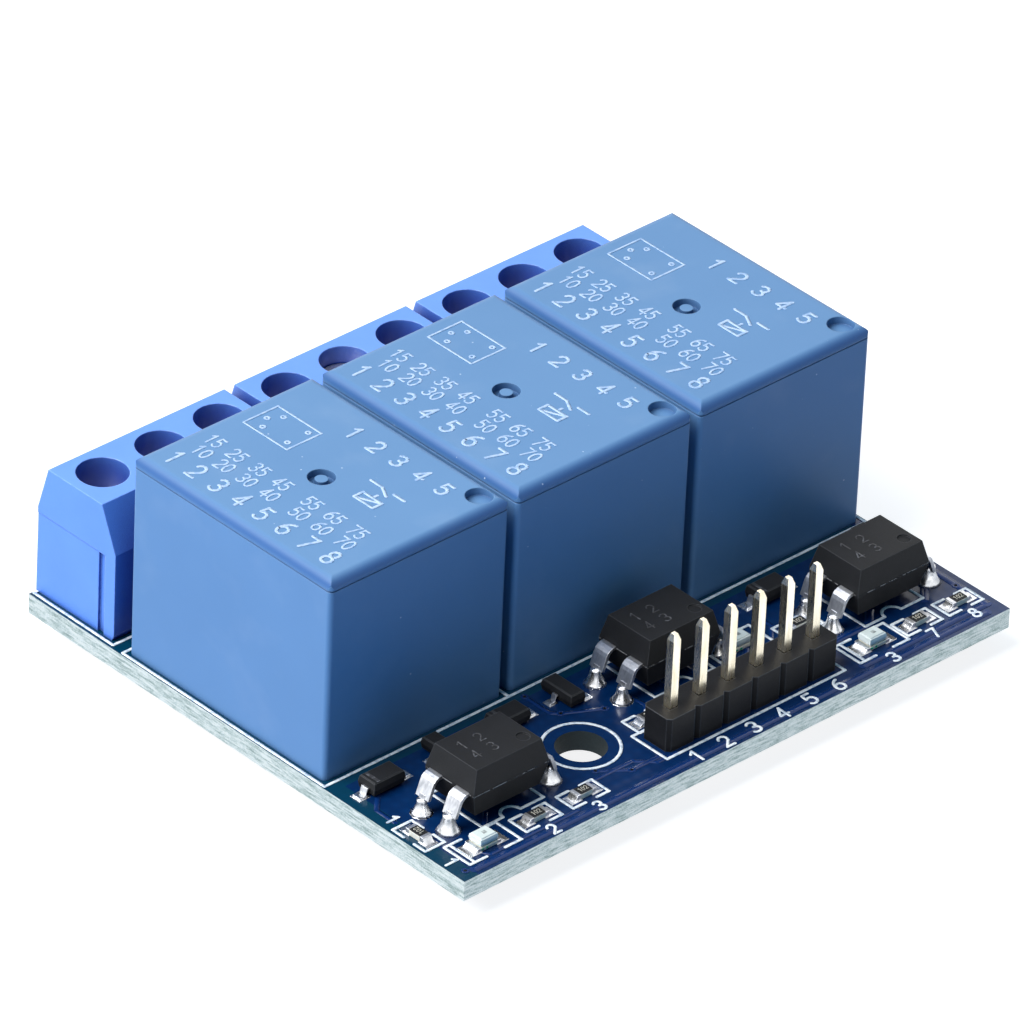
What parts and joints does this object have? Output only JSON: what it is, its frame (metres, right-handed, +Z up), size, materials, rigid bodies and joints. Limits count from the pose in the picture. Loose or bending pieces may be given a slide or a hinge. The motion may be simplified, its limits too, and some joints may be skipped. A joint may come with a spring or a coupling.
{
  "type": "relay module board",
  "caption": "Relay board with sugar-cube relays, rising-clamp screw terminals, optocouplers and a pin header on a dark blue circuit board.",
  "frame": {"origin": "centre of the bounding box at its base: below the middle of the board, at the tips of the longest solder pins", "axes": "+Z up, out of the component side; +X along the row of relays; +Y from the pin header towards the screw terminals"},
  "size_m": [0.0486, 0.0424, 0.0188],
  "materials": {
    "board_laminate": "glass-fibre laminate with glossy dark blue solder mask",
    "relay_case_plastic": "fine satin",
    "relay_base_plastic": "satin",
    "contact_alloy": "bright, tinned tails",
    "magnet_iron": "nickel plated",
    "bobbin_plastic": "satin",
    "coil_copper": "enamelled wire",
    "terminal_plastic": "semi-gloss",
    "tinned_brass": "tin plated",
    "plated_steel": "zinc plated",
    "moulding_resin": "fine matte",
    "header_plastic": "satin",
    "gold_plate": "bright plated",
    "lamp_resin": "clear resin on white base",
    "resistor_ceramic": "glazed ceramic chip with tinned ends"
  },
  "bodies": {
    "board_assembly": {"circuit_board": "board_laminate", "relay_case_1": "relay_case_plastic", "relay_case_2": "relay_case_plastic", "relay_case_3": "relay_case_plastic", "relay_base_1": "relay_base_plastic", "relay_base_2": "relay_base_plastic", "relay_base_3": "relay_base_plastic", "relay_pins_1": "contact_alloy", "relay_pins_2": "contact_alloy", "relay_pins_3": "contact_alloy", "relay_yoke_1": "magnet_iron", "relay_yoke_2": "magnet_iron", "relay_yoke_3": "magnet_iron", "relay_bobbin_1": "bobbin_plastic", "relay_bobbin_2": "bobbin_plastic", "relay_bobbin_3": "bobbin_plastic", "relay_winding_1": "coil_copper", "relay_winding_2": "coil_copper", "relay_winding_3": "coil_copper", "terminal_housing_1": "terminal_plastic", "terminal_housing_2": "terminal_plastic", "terminal_housing_3": "terminal_plastic", "terminal_contacts_1": "tinned_brass", "terminal_contacts_2": "tinned_brass", "terminal_contacts_3": "tinned_brass", "optocoupler_1": "moulding_resin", "optocoupler_2": "moulding_resin", "optocoupler_3": "moulding_resin", "optocoupler_leads_1": "tinned_brass", "optocoupler_leads_2": "tinned_brass", "optocoupler_leads_3": "tinned_brass", "header_housing": "header_plastic", "header_pins": "gold_plate", "indicator_lamps": "lamp_resin", "chip_resistors": "resistor_ceramic", "diodes": "moulding_resin", "transistors": "moulding_resin"},
    "armature_1": {"relay_armature_1": "magnet_iron"},
    "screw_1_1": {"terminal_screw_1_1": "plated_steel"},
    "clamp_1_1": {"terminal_clamp_1_1": "plated_steel"},
    "screw_1_2": {"terminal_screw_1_2": "plated_steel"},
    "clamp_1_2": {"terminal_clamp_1_2": "plated_steel"},
    "screw_1_3": {"terminal_screw_1_3": "plated_steel"},
    "clamp_1_3": {"terminal_clamp_1_3": "plated_steel"},
    "armature_2": {"relay_armature_2": "magnet_iron"},
    "screw_2_1": {"terminal_screw_2_1": "plated_steel"},
    "clamp_2_1": {"terminal_clamp_2_1": "plated_steel"},
    "screw_2_2": {"terminal_screw_2_2": "plated_steel"},
    "clamp_2_2": {"terminal_clamp_2_2": "plated_steel"},
    "screw_2_3": {"terminal_screw_2_3": "plated_steel"},
    "clamp_2_3": {"terminal_clamp_2_3": "plated_steel"},
    "armature_3": {"relay_armature_3": "magnet_iron"},
    "screw_3_1": {"terminal_screw_3_1": "plated_steel"},
    "clamp_3_1": {"terminal_clamp_3_1": "plated_steel"},
    "screw_3_2": {"terminal_screw_3_2": "plated_steel"},
    "clamp_3_2": {"terminal_clamp_3_2": "plated_steel"},
    "screw_3_3": {"terminal_screw_3_3": "plated_steel"},
    "clamp_3_3": {"terminal_clamp_3_3": "plated_steel"}
  },
  "joints": [
    {"name": "armature_close_1", "type": "hinge", "parent": "board_assembly", "child": "armature_1", "pos_m": [-0.01614, -0.00414, 0.01466], "axis": [-1, 0, 0], "range_deg": [0, 3], "stiffness_Nm_per_rad": 0.004, "springref_deg": -5.73},
    {"name": "screw_turn_1_1", "type": "hinge", "parent": "board_assembly", "child": "screw_1_1", "pos_m": [-0.02122, 0.01764, 0.0104], "axis": [0, 0, -1], "range_deg": [0, 1200]},
    {"name": "clamp_rise_1_1", "type": "slide", "parent": "board_assembly", "child": "clamp_1_1", "axis": [0, 0, 1], "range_m": [0, 0.0015]},
    {"name": "screw_turn_1_2", "type": "hinge", "parent": "board_assembly", "child": "screw_1_2", "pos_m": [-0.01614, 0.01764, 0.0104], "axis": [0, 0, -1], "range_deg": [0, 1200]},
    {"name": "clamp_rise_1_2", "type": "slide", "parent": "board_assembly", "child": "clamp_1_2", "axis": [0, 0, 1], "range_m": [0, 0.0015]},
    {"name": "screw_turn_1_3", "type": "hinge", "parent": "board_assembly", "child": "screw_1_3", "pos_m": [-0.01106, 0.01764, 0.0104], "axis": [0, 0, -1], "range_deg": [0, 1200]},
    {"name": "clamp_rise_1_3", "type": "slide", "parent": "board_assembly", "child": "clamp_1_3", "axis": [0, 0, 1], "range_m": [0, 0.0015]},
    {"name": "armature_close_2", "type": "hinge", "parent": "board_assembly", "child": "armature_2", "pos_m": [0, -0.00414, 0.01466], "axis": [-1, 0, 0], "range_deg": [0, 3], "stiffness_Nm_per_rad": 0.004, "springref_deg": -5.73},
    {"name": "screw_turn_2_1", "type": "hinge", "parent": "board_assembly", "child": "screw_2_1", "pos_m": [-0.00508, 0.01764, 0.0104], "axis": [0, 0, -1], "range_deg": [0, 1200]},
    {"name": "clamp_rise_2_1", "type": "slide", "parent": "board_assembly", "child": "clamp_2_1", "axis": [0, 0, 1], "range_m": [0, 0.0015]},
    {"name": "screw_turn_2_2", "type": "hinge", "parent": "board_assembly", "child": "screw_2_2", "pos_m": [0, 0.01764, 0.0104], "axis": [0, 0, -1], "range_deg": [0, 1200]},
    {"name": "clamp_rise_2_2", "type": "slide", "parent": "board_assembly", "child": "clamp_2_2", "axis": [0, 0, 1], "range_m": [0, 0.0015]},
    {"name": "screw_turn_2_3", "type": "hinge", "parent": "board_assembly", "child": "screw_2_3", "pos_m": [0.00508, 0.01764, 0.0104], "axis": [0, 0, -1], "range_deg": [0, 1200]},
    {"name": "clamp_rise_2_3", "type": "slide", "parent": "board_assembly", "child": "clamp_2_3", "axis": [0, 0, 1], "range_m": [0, 0.0015]},
    {"name": "armature_close_3", "type": "hinge", "parent": "board_assembly", "child": "armature_3", "pos_m": [0.01614, -0.00414, 0.01466], "axis": [-1, 0, 0], "range_deg": [0, 3], "stiffness_Nm_per_rad": 0.004, "springref_deg": -5.73},
    {"name": "screw_turn_3_1", "type": "hinge", "parent": "board_assembly", "child": "screw_3_1", "pos_m": [0.01106, 0.01764, 0.0104], "axis": [0, 0, -1], "range_deg": [0, 1200]},
    {"name": "clamp_rise_3_1", "type": "slide", "parent": "board_assembly", "child": "clamp_3_1", "axis": [0, 0, 1], "range_m": [0, 0.0015]},
    {"name": "screw_turn_3_2", "type": "hinge", "parent": "board_assembly", "child": "screw_3_2", "pos_m": [0.01614, 0.01764, 0.0104], "axis": [0, 0, -1], "range_deg": [0, 1200]},
    {"name": "clamp_rise_3_2", "type": "slide", "parent": "board_assembly", "child": "clamp_3_2", "axis": [0, 0, 1], "range_m": [0, 0.0015]},
    {"name": "screw_turn_3_3", "type": "hinge", "parent": "board_assembly", "child": "screw_3_3", "pos_m": [0.02122, 0.01764, 0.0104], "axis": [0, 0, -1], "range_deg": [0, 1200]},
    {"name": "clamp_rise_3_3", "type": "slide", "parent": "board_assembly", "child": "clamp_3_3", "axis": [0, 0, 1], "range_m": [0, 0.0015]}
  ],
  "couplings": [
    {"joint": "screw_turn_1_1", "follows": "clamp_rise_1_1", "rad_per_m": 13963},
    {"joint": "screw_turn_1_2", "follows": "clamp_rise_1_2", "rad_per_m": 13963},
    {"joint": "screw_turn_1_3", "follows": "clamp_rise_1_3", "rad_per_m": 13963},
    {"joint": "screw_turn_2_1", "follows": "clamp_rise_2_1", "rad_per_m": 13963},
    {"joint": "screw_turn_2_2", "follows": "clamp_rise_2_2", "rad_per_m": 13963},
    {"joint": "screw_turn_2_3", "follows": "clamp_rise_2_3", "rad_per_m": 13963},
    {"joint": "screw_turn_3_1", "follows": "clamp_rise_3_1", "rad_per_m": 13963},
    {"joint": "screw_turn_3_2", "follows": "clamp_rise_3_2", "rad_per_m": 13963},
    {"joint": "screw_turn_3_3", "follows": "clamp_rise_3_3", "rad_per_m": 13963}
  ]
}
